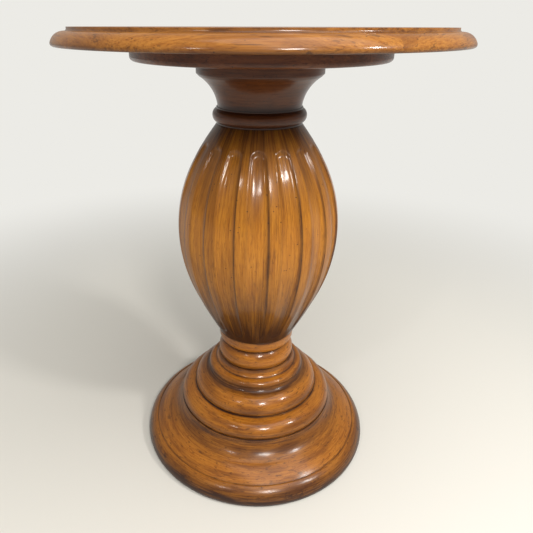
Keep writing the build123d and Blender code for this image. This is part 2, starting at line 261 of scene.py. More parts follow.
def lacquered_wood(name, light, middle, dark, along, offset, source="attribute",
                   patches=0.45, flecks=0.0, sheen_blur=0.14):
    """Stained wood under clear lacquer, with the grain stretched by along.

    It has streaks, darker patches and pores, dark glaze in the creases with painted shade where the
    mesh marks it, dark flecks and specks, and worn edges.
    """
    # The dark colour of glaze, also used for painted shade.
    glaze_and_shade_colour = (0.030, 0.010, 0.005)
    material, tree, shader = new_material(name)
    if source == "attribute":
        vector = attribute_node(tree, "grain", "Vector")
    else:
        vector = tree.nodes.new("ShaderNodeTexCoord").outputs["Object"]

    def product(first, second):
        return math_node(tree, "MULTIPLY", first, second)

    def ramp(value, low, high):
        return ramp_node(tree, value, low, high)

    def blend(amount, first, second):
        return blend_colour(tree, amount, first, second)

    long_way, cross, third = along
    streaks = noise_node(tree, vector, along, 5.0, 0.62, offset)
    broad = noise_node(tree, vector, (long_way * 0.7, cross * 0.13, third * 0.13), 3.0, 0.5,
                       offset + 3)
    pores = noise_node(tree, vector, (long_way * 5, cross * 2.6, third * 2.6), 2.0, 0.5, offset + 7)

    # Stain: it takes unevenly, and darkest in the pores.
    tone = blend(ramp(streaks, 0.30, 0.70), middle, light)
    tone = blend(product(ramp(broad, 0.54, 0.32), patches), tone, dark)
    tone = blend(product(ramp(streaks, 0.42, 0.26), 0.50), tone, dark)
    tone = blend(product(ramp(pores, 0.56, 0.68), 0.55), tone, dark)

    # Glaze and painted shade: dark glaze wiped into the creases, and painted shade on the faces the
    # mesh marks, both thinner where streaks and patches are light.
    least_glaze, streak_glaze, broad_glaze = 0.62, 0.26, 0.22
    glaze_and_shade_fade = math_node(tree, "ADD", product(ramp(streaks, 0.66, 0.34), streak_glaze),
                           product(ramp(broad, 0.65, 0.35), broad_glaze))
    glaze_and_shade_fade = math_node(tree, "ADD", glaze_and_shade_fade, least_glaze)
    glaze_and_shade_share = math_node(tree, "MULTIPLY", attribute_node(tree, "glaze_and_shade"), glaze_and_shade_fade, clamp=True)
    tone = blend(glaze_and_shade_share, tone, glaze_and_shade_colour)

    # Flecks: short dashes with the grain, which on turnings lies along both X and Y.
    if flecks:
        cross_stretch = 3.4 if cross == long_way else 0.6
        short = noise_node(tree, vector, (long_way * 3.4, cross * cross_stretch, third * 0.55),
                           2.0, 0.6, offset + 29)
        tone = blend(product(ramp(short, 0.60, 0.68), flecks), tone, glaze_and_shade_colour)

    # Wear: dents along the edges, filled with glaze.
    rub_noise = noise_node(tree, vector, (60.0, 60.0, 60.0), 5.0, 0.7, offset + 17)
    rub_share = product(attribute_node(tree, "rub"), ramp(rub_noise, 0.56, 0.64))
    tone = blend(product(rub_share, 0.85), tone, glaze_and_shade_colour)

    # Specks: round dots in about a quarter of the cells.
    specks = tree.nodes.new("ShaderNodeTexVoronoi")
    specks.inputs["Scale"].default_value = 150.0
    link(tree, vector, specks.inputs["Vector"])
    chosen = tree.nodes.new("ShaderNodeSeparateColor")
    link(tree, specks.outputs["Color"], chosen.inputs[0])
    speck = product(ramp(specks.outputs["Distance"], 0.16, 0.08),
                    ramp(chosen.outputs[0], 0.72, 0.75))
    tone = blend(product(speck, 0.8), tone, glaze_and_shade_colour)
    link(tree, tone, shader.inputs["Base Color"])

    roughness_range(tree, streaks, 0.30, 0.46, shader.inputs["Roughness"])
    shader.inputs["Coat Weight"].default_value = 0.45
    shader.inputs["Specular IOR Level"].default_value = 0.12
    shader.inputs["Coat Roughness"].default_value = sheen_blur
    shader.inputs["Coat IOR"].default_value = 1.5

    height = math_node(tree, "ADD", product(streaks, 0.6), product(pores, -0.35))
    height = math_node(tree, "SUBTRACT", height, product(speck, 0.7))
    height = math_node(tree, "SUBTRACT", height, product(rub_share, 0.5))
    bump_node(tree, height, 0.35, 0.0004, shader.inputs["Normal"])

    # The lacquer lies in slow waves over the pores.
    wavy = noise_node(tree, vector, (55.0, 55.0, 55.0), 2.0, 0.4, offset + 23)
    bump_node(tree, wavy, 0.25, 0.0005, shader.inputs["Coat Normal"])
    return material


def dress(name, material):
    """Gives a carried-over node its material."""
    nodes[name].data.materials.clear()
    nodes[name].data.materials.append(material)


table_height = cad_high.z
under_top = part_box("top_panel")[0].z
panel_radius = 0.190
lip_radius = 0.2345
top_radius = 0.254
segment_count = 6
segment_sweep = 2 * pi / segment_count
first_joint = radians(-61)
lower_edge = (top_radius - 0.002, under_top)

rim_outline = run_of([
    (panel_radius, table_height),
    ((lip_radius, table_height), 0),
    ((lip_radius, table_height - 0.0024), 0),
    ((lip_radius + 0.004, table_height - 0.0042), -0.0008),
    ((top_radius, under_top + 0.0036), 0.0031),
    (lower_edge, 0.0008),
    ((panel_radius, under_top), 0),
    ((panel_radius, table_height), 0),
])[:-1]
rim_creases = [
    ((lip_radius + 0.001, table_height - 0.003), 0.7, 0.0016),
    (lower_edge, 0.7, 0.004),
    ((panel_radius, table_height), 0.9, 0.0006),
]
rim_edges = [
    ((top_radius, under_top + 0.001), 0.9, 0.004),
    ((lip_radius, table_height), 0.5, 0.002),
]
for index in range(segment_count):
    joint = first_joint + index * segment_sweep
    along_board = joint + segment_sweep / 2 + pi / 2
    board = turned_piece(f"rim_board_{index + 1}", rim_outline, rim_creases, rim_edges,
                         turn_steps=64, start=joint, sweep=segment_sweep, grain_turn=along_board)
    finish = lacquered_wood(f"rim_wood_{index + 1}", (0.38, 0.155, 0.026), (0.28, 0.098, 0.013),
                            (0.11, 0.030, 0.006), (11.0, 480.0, 480.0), offset=index * 1.7,
                            flecks=0.45)
    board.data.materials.append(finish)
    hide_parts(f"rim_segment_{index + 1}")
    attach(board, "root")


# Panel of the top: boards glued edge to edge, cut round and set with a tongue into the rim's
# groove. Its grain runs along X. It is stained and lacquered with the rim, so it differs only
# in its grain.
top_wood = lacquered_wood("top_wood", (0.42, 0.165, 0.036), (0.30, 0.102, 0.018),
                          (0.11, 0.030, 0.006), (4.0, 150.0, 150.0), 4.1, "object")
dress("top_panel", top_wood)


# Disc under the top, bandsawn from a glued board and rounded over below. It carries the top on the
# column. It is stained darker than the rim, and its colour is darkened further with painted shade
# from the top.
dark_wood = lacquered_wood("dark_wood", (0.15, 0.048, 0.014), (0.090, 0.026, 0.007),
                           (0.040, 0.010, 0.004), (7.0, 260.0, 260.0), 9.3, "object")
dress("subtop_disc", dark_wood)


# Capital, the head of the column, turned from one block: a flat flange that the disc is doweled to,
# a chamfer and a deep cove. Its colour is as dark as the disc's: a dark stain with painted shade
# from the top.
capital_low, capital_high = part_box("neck_ring")[1].z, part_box("subtop_disc")[0].z
spigot_radius = 0.032
flange_radius = 0.084
neck_radius = 0.0570
flange_edge = (flange_radius, capital_high - 0.016)
capital_outline = run_of([
    (spigot_radius, capital_high),
    ((flange_radius, capital_high), 0),
    (flange_edge, 0),
    ((flange_radius - 0.0035, capital_high - 0.0195), 0),
    ((neck_radius, capital_low + 0.003), -0.0046),
    ((neck_radius, capital_low), 0),
    ((spigot_radius, capital_low), 0),
    ((spigot_radius, capital_high), 0),
])[:-1]
# The mark at the foot of the cove is glaze in the joint with painted shadow from the cove above it.
capital_creases = [
    ((neck_radius - 0.0004, capital_low), 1.0, 0.006),
    ((flange_radius - 0.002, capital_high - 0.018), 0.5, 0.003),
]
capital = turned_piece("capital_turning", capital_outline, capital_creases,
                       [(flange_edge, 0.5, 0.003)], ringwise=True)
capital_stain_and_shade_wood = lacquered_wood("capital_stain_and_shade_wood", (0.125, 0.038, 0.010), (0.078, 0.021, 0.005),
                              (0.036, 0.009, 0.003), (22.0, 22.0, 420.0), 2.2)
capital.data.materials.append(capital_stain_and_shade_wood)
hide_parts("capital")
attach(capital, "root")


# Neck ring, a half-round turning slipped over the capital's spigot, which hides the joint
# between the dark capital and the lighter urn.
ring_low, ring_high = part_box("neck_ring")[0].z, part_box("neck_ring")[1].z
ring_bulge = 0.0056
ring_seat = 0.0639 - ring_bulge
ring_outline = run_of([
    (spigot_radius, ring_high),
    ((ring_seat, ring_high), 0),
    ((ring_seat, ring_high - 0.0015), 0),
    ((ring_seat, ring_low + 0.0015), ring_bulge),
    ((ring_seat, ring_low), 0),
    ((spigot_radius, ring_low), 0),
    ((spigot_radius, ring_high), 0),
])[:-1]
# The mark on the ring's top is glaze in the joint with painted shadow under the capital's cove.
ring_creases = [((ring_seat, ring_high), 1.0, 0.005), ((ring_seat, ring_low), 1.0, 0.004)]
ring = turned_piece("neck_ring_turning", ring_outline, ring_creases, [], ringwise=True)
# The ring takes the capital's colour, a dark stain with painted shade from the top.
ring.data.materials.append(capital_stain_and_shade_wood)
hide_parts("neck_ring")
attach(ring, "root")


# Urn, turned from a block of glued staves and carved with sixteen round-ended flutes, deeper on
# their right side. Dark glaze is left along their edges and at their feet, with painted shade on
# their right edges, inside their ends and on the lower urn, and painted shade and painted reflection
# of the top on the shoulder.
urn_foot, urn_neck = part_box("collar")[1].z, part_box("neck_ring")[0].z
urn_rise = urn_neck - urn_foot
belly = 0.117
flute_depth = 0.0050
outline_points = [
    (0.061, urn_foot),
    (belly * 0.895, urn_foot + urn_rise * 0.29),
    (belly, urn_foot + urn_rise * 0.557),
    (belly * 0.800, urn_foot + urn_rise * 0.832),
    (0.058, urn_neck),
]


def smooth_outline(points, steps):
    """A natural cubic spline through the points, by chord length, as (radius, height) pairs."""
    spans = [hypot(b[0] - a[0], b[1] - a[1]) for a, b in zip(points, points[1:])]
    count = len(points)
    curves = []
    for axis in (0, 1):
        values = [point[axis] for point in points]
        slopes = [0.0] * count
        factor = [0.0] * count
        for i in range(1, count - 1):
            weight = spans[i - 1] / (spans[i - 1] + spans[i])
            pivot = weight * slopes[i - 1] + 2
            slopes[i] = (weight - 1) / pivot
            step_after = (values[i + 1] - values[i]) / spans[i]
            step_before = (values[i] - values[i - 1]) / spans[i - 1]
            bend = 6 * (step_after - step_before) / (spans[i - 1] + spans[i])
            factor[i] = (bend - weight * factor[i - 1]) / pivot
        second = [0.0] * count
        for i in range(count - 2, -1, -1):
            second[i] = slopes[i] * second[i + 1] + factor[i]
        curves.append((values, second))
    total = sum(spans)
    result = []
    for step in range(steps + 1):
        way = total * step / steps
        piece = 0
        while piece < count - 2 and way > spans[piece]:
            way -= spans[piece]
            piece += 1
        span = spans[piece]
        a, b = (span - way) / span, way / span
        point = []
        for values, second in curves:
            curve = ((a**3 - a) * second[piece] + (b**3 - b) * second[piece + 1]) * span * span / 6
            point.append(a * values[piece] + b * values[piece + 1] + curve)
        result.append(tuple(point))
    return result


def fluted_tree():
    """Geometry Nodes: a grid wrapped round the axis on the outline curve, with flutes pressed in.

    It stores the points' glaze with painted shade, wear and grain place, as turned_piece does.
    """
    tree = bpy.data.node_groups.new("fluted_urn", "GeometryNodeTree")
    interface = tree.interface
    interface.new_socket("Geometry", in_out="INPUT", socket_type="NodeSocketGeometry")
    sizes = (
        ("Columns", "NodeSocketInt", 480),
        ("Rows", "NodeSocketInt", 200),
        ("Flutes", "NodeSocketInt", 16),
        ("Flute Half Angle", "NodeSocketFloat", radians(7.5)),
        ("Depth Share", "NodeSocketFloat", flute_depth / belly),
        ("Top End", "NodeSocketFloat", 0.888),
        ("Foot End", "NodeSocketFloat", 0.075),
        ("Outline Length", "NodeSocketFloat", 0.37),
        ("Grain Radius", "NodeSocketFloat", belly * 0.85),
        ("Wall Steepness", "NodeSocketFloat", 2.1),
        ("Lean", "NodeSocketFloat", 0.5),
    )
    for name, kind, value in sizes:
        interface.new_socket(name, in_out="INPUT", socket_type=kind).default_value = value
    interface.new_socket("Finish", in_out="INPUT", socket_type="NodeSocketMaterial")
    interface.new_socket("Geometry", in_out="OUTPUT", socket_type="NodeSocketGeometry")
    new = tree.nodes.new
    given = new("NodeGroupInput")
    sent = new("NodeGroupOutput")

    def calc(operation, *values):
        return math_node(tree, operation, *values)

    def held(value, least, most):
        return calc("MINIMUM", calc("MAXIMUM", value, least), most)

    def peak(value, centre, half_width):
        """1 at the centre, falling straight to 0 at half a width from it, and below beyond."""
        off = calc("ABSOLUTE", calc("DIVIDE", calc("SUBTRACT", value, centre), half_width))
        return calc("SUBTRACT", 1.0, off)

    def store(geometry, name, kind, value):
        keep = new("GeometryNodeStoreNamedAttribute")
        keep.data_type = kind
        keep.domain = "POINT"
        keep.inputs["Name"].default_value = name
        link(tree, geometry, keep.inputs["Geometry"])
        link(tree, value, keep.inputs["Value"])
        return keep.outputs["Geometry"]

    # The grid's X is the turn about the axis, from the front, and its Y the share of the outline.
    grid = new("GeometryNodeMeshGrid")
    link(tree, calc("ADD", given.outputs["Columns"], 1), grid.inputs["Vertices X"])
    link(tree, given.outputs["Rows"], grid.inputs["Vertices Y"])
    split = new("ShaderNodeSeparateXYZ")
    link(tree, new("GeometryNodeInputPosition").outputs[0], split.inputs[0])
    angle = calc("MULTIPLY", calc("ADD", split.outputs["X"], 0.25), 2 * pi)
    share = calc("ADD", split.outputs["Y"], 0.5)
    sample = new("GeometryNodeSampleCurve")
    sample.mode = "FACTOR"
    link(tree, given.outputs["Geometry"], sample.inputs["Curves"])
    link(tree, share, sample.inputs["Factor"])
    on_curve = new("ShaderNodeSeparateXYZ")
    link(tree, sample.outputs["Position"], on_curve.inputs[0])
    along = new("ShaderNodeSeparateXYZ")
    link(tree, sample.outputs["Tangent"], along.inputs[0])
    radius, height = on_curve.outputs["X"], on_curve.outputs["Z"]

    # Across a flute, side runs from -1 to 1; past its ends, nose grows to 1 at their tips.
    pitch = calc("DIVIDE", 2 * pi, given.outputs["Flutes"])
    from_middle = calc("WRAP", calc("ADD", angle, pi / 2), calc("MULTIPLY", pitch, 0.5),
                       calc("MULTIPLY", pitch, -0.5))
    side = calc("DIVIDE", from_middle, given.outputs["Flute Half Angle"])
    half_width = calc("MULTIPLY", radius, calc("SINE", given.outputs["Flute Half Angle"]))
    past_top = calc("MAXIMUM", calc("SUBTRACT", share, given.outputs["Top End"]), 0.0)
    past_foot = calc("MAXIMUM", calc("SUBTRACT", given.outputs["Foot End"], share), 0.0)
    past = calc("MULTIPLY", calc("ADD", past_top, past_foot), given.outputs["Outline Length"])
    nose = calc("DIVIDE", past, half_width)
    from_edge = calc("ADD", calc("MULTIPLY", side, side), calc("MULTIPLY", nose, nose))

    # Its hollow leans to the right below the top end, and is shallow at its foot.
    lean_from, lean_rise = 0.86, 0.2
    foot_slope, foot_share, least_share = 4.0, 0.4, 0.2
    hollow = calc("SUBTRACT", 1.0, calc("POWER", from_edge, given.outputs["Wall Steepness"]))
    hollow = calc("MAXIMUM", hollow, 0.0)
    lean = held(calc("DIVIDE", calc("SUBTRACT", lean_from, share), lean_rise), 0.0, 1.0)
    lean = calc("MULTIPLY", lean, given.outputs["Lean"])
    uneven = calc("ADD", calc("SUBTRACT", 1.0, calc("MULTIPLY", lean, 0.5)),
                  calc("MULTIPLY", side, lean))
    hollow = calc("MULTIPLY", hollow, uneven)
    above_foot = calc("SUBTRACT", share, given.outputs["Foot End"])
    shallow = calc("ADD", calc("MULTIPLY", above_foot, foot_slope), foot_share)
    hollow = calc("MULTIPLY", hollow, held(shallow, least_share, 1.0))
    depth = calc("MULTIPLY", calc("MULTIPLY", hollow, radius), given.outputs["Depth Share"])

    inward_radius = calc("SUBTRACT", radius, calc("MULTIPLY", depth, along.outputs["Z"]))
    inward_height = calc("ADD", height, calc("MULTIPLY", depth, along.outputs["X"]))
    wrapped = new("ShaderNodeCombineXYZ")
    link(tree, calc("MULTIPLY", inward_radius, calc("COSINE", angle)), wrapped.inputs["X"])
    link(tree, calc("MULTIPLY", inward_radius, calc("SINE", angle)), wrapped.inputs["Y"])
    link(tree, inward_height, wrapped.inputs["Z"])

    # Glaze and painted shade on the edges of a flute, round its ends, toward the foot and up the
    # shoulder.
    # The right edges are darker than the left: dark glaze with painted shade on the wall turned from
    # the light.
    right_glaze_and_shade = calc("MAXIMUM", peak(side, 0.97, 0.15), 0.0)
    left_glaze = calc("MULTIPLY", calc("MAXIMUM", peak(side, -0.95, 0.16), 0.0), 0.35)
    edge_glaze_and_shade = calc("MULTIPLY", calc("MAXIMUM", right_glaze_and_shade, left_glaze),
                      calc("LESS_THAN", nose, 1.0))
    edge_glaze_and_shade = calc("MULTIPLY", edge_glaze_and_shade, 1.1)
    # Inside the rounded ends: dark glaze with painted shade under their steep walls.
    nose_glaze_and_shade = calc("MULTIPLY", calc("MAXIMUM", peak(from_edge, 0.86, 0.2), 0.0),
                      calc("MINIMUM", calc("MULTIPLY", nose, 3.0), 1.0))
    foot_reach, shoulder_start, fade_power = 0.56, 0.58, 1.3
    # Toward the foot: dark glaze at the flutes' feet, with painted shade darkening the lower half of
    # the urn.
    low = calc("MAXIMUM", calc("SUBTRACT", 1.0, calc("DIVIDE", share, foot_reach)), 0.0)
    foot_glaze_and_shade = calc("MULTIPLY", calc("POWER", low, fade_power), 1.35)
    # Up the shoulder: painted shade from the top, with painted reflection of the top's dark
    # underside.
    high = calc("DIVIDE", calc("SUBTRACT", share, shoulder_start), 1 - shoulder_start)
    high = calc("MAXIMUM", high, 0.0)
    shoulder_painted_shade = calc("MULTIPLY", calc("POWER", high, fade_power), 0.92)
    glaze_and_shade_value = calc("MAXIMUM", calc("MAXIMUM", edge_glaze_and_shade, nose_glaze_and_shade),
                       calc("MAXIMUM", foot_glaze_and_shade, shoulder_painted_shade))

    # The grain's place keeps to one radius, so that streaks follow the flutes.
    turned_grain = new("ShaderNodeCombineXYZ")
    grain_radius = given.outputs["Grain Radius"]
    link(tree, inward_height, turned_grain.inputs["X"])
    link(tree, calc("MULTIPLY", grain_radius, calc("COSINE", angle)), turned_grain.inputs["Y"])
    link(tree, calc("MULTIPLY", grain_radius, calc("SINE", angle)), turned_grain.inputs["Z"])

    stored = store(grid.outputs["Mesh"], "glaze_and_shade", "FLOAT", glaze_and_shade_value)
    # Wear follows the flute edges, so it too is strongest on the right edges with the painted shade.
    stored = store(stored, "rub", "FLOAT", calc("MULTIPLY", edge_glaze_and_shade, 0.3))
    stored = store(stored, "grain", "FLOAT_VECTOR", turned_grain.outputs[0])
    bent = new("GeometryNodeSetPosition")
    link(tree, stored, bent.inputs["Geometry"])
    link(tree, wrapped.outputs[0], bent.inputs["Position"])
    merged = new("GeometryNodeMergeByDistance")
    merged.inputs["Distance"].default_value = 1e-6
    link(tree, bent.outputs[0], merged.inputs["Geometry"])
    realized = new("GeometryNodeRealizeInstances")
    link(tree, merged.outputs[0], realized.inputs[0])
    finished = new("GeometryNodeSetMaterial")
    link(tree, realized.outputs[0], finished.inputs["Geometry"])
    link(tree, given.outputs["Finish"], finished.inputs["Material"])
    link(tree, finished.outputs[0], sent.inputs[0])
    return tree


def made_by_nodes(name, host, tree, values):
    """Runs a node tree on a host object and keeps its result as a plain mesh object."""
    modifier = host.modifiers.new("shape", "NODES")
    modifier.node_group = tree
    for item in tree.interface.items_tree:
        if item.item_type == "SOCKET" and item.in_out == "INPUT" and item.name in values:
            modifier[item.identifier] = values[item.name]
    graph = bpy.context.evaluated_depsgraph_get()
    graph.update()
    mesh = bpy.data.meshes.new_from_object(host.evaluated_get(graph),
                                           preserve_all_data_layers=True, depsgraph=graph)
    host.modifiers.remove(modifier)
    bpy.data.objects.remove(host)
    mesh.name = name
    piece = bpy.data.objects.new(name, mesh)
    scene.collection.objects.link(piece)
    return piece


urn_wood = lacquered_wood("urn_wood", (0.49, 0.195, 0.017), (0.36, 0.124, 0.009),
                          (0.13, 0.034, 0.005), (16.0, 640.0, 640.0), 5.5, patches=0.35,
                          flecks=0.25)
line = smooth_outline(outline_points, steps=240)
curve_data = bpy.data.curves.new("urn_line", "CURVE")
curve_data.dimensions = "3D"
spline = curve_data.splines.new("POLY")
spline.points.add(len(line) - 1)
for point, (radius, height) in zip(spline.points, line):
    point.co = (radius, 0, height, 1)
curve_object = bpy.data.objects.new("urn_line", curve_data)
scene.collection.objects.link(curve_object)
line_length = sum(hypot(b[0] - a[0], b[1] - a[1]) for a, b in zip(line, line[1:]))
urn = made_by_nodes("urn_turning", curve_object, fluted_tree(),
                    {"Outline Length": line_length, "Finish": urn_wood})
facing_out(urn.data, fill_holes=True)
urn.data.shade_smooth()
urn.data.set_sharp_from_angle(angle=radians(60))
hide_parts("urn")
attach(urn, "root")


# Collar, a plain turned band between the urn and the base, bored for the urn's spigot. Dark
# glaze stays in the joints above and below it.
base_stain = (0.43, 0.160, 0.018), (0.31, 0.099, 0.009), (0.11, 0.029, 0.005), (26.0, 26.0, 560.0)
base_wood = lacquered_wood("base_wood", *base_stain, 7.7, patches=0.55, flecks=0.5)
collar_low, collar_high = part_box("collar")[0].z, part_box("collar")[1].z
collar_radius = 0.0603
foot_bore = 0.030
collar_outline = run_of([
    (foot_bore, collar_high),
    ((collar_radius - 0.0015, collar_high), 0),
    ((collar_radius, collar_high - 0.002), 0),
    ((collar_radius - 0.0010, collar_low + 0.010), 0),
    ((collar_radius - 0.0090, collar_low), 0.0022),
    ((foot_bore, collar_low), 0),
    ((foot_bore, collar_high), 0),
])[:-1]
collar_creases = [
    ((collar_radius, collar_high), 1.0, 0.0025),
    ((collar_radius - 0.008, collar_low), 0.9, 0.0035),
]
collar = turned_piece("collar_turning", collar_outline, collar_creases, [], ringwise=True)
collar.data.materials.append(base_wood)
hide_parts("collar")
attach(collar, "root")


# Riser, the upper turning of the base, from one block: a cushion, a small cove, a nosing and a bell.
# Dark glaze stays in the creases between its rounds, and painted shade darkens the lower faces of
# the cushion and the bell and the cove under the nosing.
riser_low, riser_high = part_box("base_ring")[1].z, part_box("collar")[0].z
cushion = 0.0595
nosing = 0.077
bell = 0.1014
under_cushion = (cushion - 0.0012, riser_high - 0.029)
over_nosing = (nosing - 0.0115, riser_high - 0.040)
nosing_front = (nosing, riser_high - 0.048)
under_bell = (bell, riser_low)
riser_outline = run_of([
    (foot_bore, riser_high),
    ((cushion - 0.0095, riser_high), 0),
    ((cushion - 0.0006, riser_high - 0.027), 0.0050),
    (under_cushion, 0),
    ((cushion + 0.0012, riser_high - 0.030), 0),
    (over_nosing, -0.0012),
    ((nosing - 0.0085, riser_high - 0.041), 0),
    (nosing_front, 0.0022),
    ((nosing - 0.0012, riser_high - 0.0515), 0),
    ((nosing + 0.006, riser_high - 0.058), -0.0014),
    ((bell, riser_low + 0.0025), 0.0046),
    ((bell - 0.001, riser_low), 0),
    ((foot_bore, riser_low), 0),
    ((foot_bore, riser_high), 0),
])[:-1]
# The marks on the cushion's and the bell's lower faces are painted shade, and the one in the cove
# under the nosing is glaze with painted shade.
riser_creases = [
    ((cushion - 0.0085, riser_high), 0.9, 0.004),
    (under_cushion, 1.2, 0.0015),
    ((cushion, riser_high - 0.028), 0.6, 0.006),
    (over_nosing, 0.9, 0.0015),
    ((nosing + 0.001, riser_high - 0.054), 0.95, 0.009),
    (under_bell, 1.4, 0.0018),
    ((bell, riser_low + 0.004), 0.5, 0.008),
]
riser = turned_piece("base_riser_turning", riser_outline, riser_creases,
                     [(nosing_front, 0.4, 0.004)], ringwise=True)
riser.data.materials.append(base_wood)
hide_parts("base_riser")
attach(riser, "root")


# Base ring, a half-round turning glued between the riser and the plinth, with the riser's spigot
# through it. Glaze darkens the joint on each side of it, and painted shade its lower face.
base_ring_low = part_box("base_ring")[0].z
riser_bore = 0.060
base_ring_radius = 0.125
base_ring_outline = run_of([
    (riser_bore, riser_low),
    ((bell - 0.001, riser_low), 0),
    ((bell + 0.0016, riser_low - 0.0012), 0),
    ((base_ring_radius, base_ring_low + 0.003), 0.0062),
    ((base_ring_radius - 0.0018, base_ring_low), 0),
    ((riser_bore, base_ring_low), 0),
    ((riser_bore, riser_low), 0),
])[:-1]
base_ring_creases = [
    (under_bell, 1.4, 0.0018),
    ((base_ring_radius - 0.001, base_ring_low), 1.3, 0.002),
    # Painted shade on the ring's lower face.
    ((base_ring_radius, base_ring_low + 0.004), 0.55, 0.008),
    ((bell + 0.005, riser_low - 0.004), 0.7, 0.001),
]
base_ring = turned_piece("base_ring_turning", base_ring_outline, base_ring_creases, [],
                         ringwise=True)
base_ring.data.materials.append(base_wood)
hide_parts("base_ring")
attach(base_ring, "root")


# Plinth, the broad foot turned from a glued block: a small bead under the base ring, and a cove
# that runs out to a fine step and a rounded rim. Its lacquer is worn a little duller.
plinth_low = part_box("base_plinth")[0].z
plinth_radius = 0.1865
shoulder_radius = 0.1265
pocket_radius = 0.017
over_bead = (shoulder_radius - 0.0015, base_ring_low)
under_bead = (shoulder_radius - 0.0030, base_ring_low - 0.0042)
fine_step = (plinth_radius - 0.0165, plinth_low + 0.0258)
plinth_outline = run_of([
    (pocket_radius, base_ring_low),
    (over_bead, 0),
    ((shoulder_radius - 0.0015, base_ring_low - 0.0034), 0.0012),
    (under_bead, 0),
    ((shoulder_radius + 0.0195, base_ring_low - 0.0290), -0.0040),
    ((plinth_radius - 0.0175, plinth_low + 0.0265), 0.0007),
    (fine_step, 0),
    ((plinth_radius - 0.0152, plinth_low + 0.0262), 0),
    ((plinth_radius, plinth_low + 0.0060), 0.0032),
    ((plinth_radius - 0.0014, plinth_low), 0.0004),
    ((pocket_radius, plinth_low), 0),
    ((pocket_radius, base_ring_low), 0),
])[:-1]
# Glaze fills the bead's creases and the fine step. The broad marks on the upper cove are painted
# shade and painted dark reflection, and the one on the rim's lower band is painted shade where it
# faces down.
plinth_creases = [
    (over_bead, 1.4, 0.0012),
    (under_bead, 1.2, 0.0014),
    ((shoulder_radius + 0.006, base_ring_low - 0.016), 0.62, 0.015),
    ((shoulder_radius - 0.001, base_ring_low - 0.0052), 1.1, 0.0022),
    ((shoulder_radius - 0.001, base_ring_low - 0.0075), 0.75, 0.006),
    (fine_step, 0.7, 0.0014),
    ((plinth_radius - 0.001, plinth_low + 0.003), 1.2, 0.020),
]
plinth_edges = [((plinth_radius - 0.004, plinth_low + 0.014), 0.9, 0.008)]
plinth = turned_piece("base_plinth_turning", plinth_outline, plinth_creases, plinth_edges,
                      turn_steps=320, ringwise=True)
plinth_wood = lacquered_wood("plinth_wood", *base_stain, 3.3, patches=0.55, flecks=0.5,
                             sheen_blur=0.2)
plinth.data.materials.append(plinth_wood)
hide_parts("base_plinth")
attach(plinth, "root")


# Hidden wood: loose tongues across the rim's joints, and two dowels between disc and capital
# that keep the top from turning. They are cut from bare hardwood and glued in.
raw_wood = lacquered_wood("raw_wood", (0.62, 0.45, 0.27), (0.52, 0.36, 0.2), (0.4, 0.26, 0.13),
                          (8.0, 120.0, 120.0), 1.1, "object")
for name in ("rim_splines", "locating_dowels"):
    dress(name, raw_wood)


# Rod, washers and nuts of zinc plated steel. The rod is drawn and rolled to a thread, and it
# clamps the turnings between its nuts. The plating is a little cloudy.
zinc, zinc_tree, zinc_shader = new_material("zinc_plate")
zinc_place = zinc_tree.nodes.new("ShaderNodeTexCoord")
clouds = noise_node(zinc_tree, zinc_place.outputs["Object"], (220.0, 220.0, 220.0), 4.0, 0.6)
zinc_tone = blend_colour(zinc_tree, ramp_node(zinc_tree, clouds, 0.35, 0.7),
                         (0.52, 0.50, 0.45), (0.68, 0.67, 0.63))
link(zinc_tree, zinc_tone, zinc_shader.inputs["Base Color"])
zinc_shader.inputs["Metallic"].default_value = 1.0
roughness_range(zinc_tree, clouds, 0.28, 0.5, zinc_shader.inputs["Roughness"])
for name in ("tie_rod", "top_washer", "top_nut", "base_washer", "base_nut"):
    dress(name, zinc)


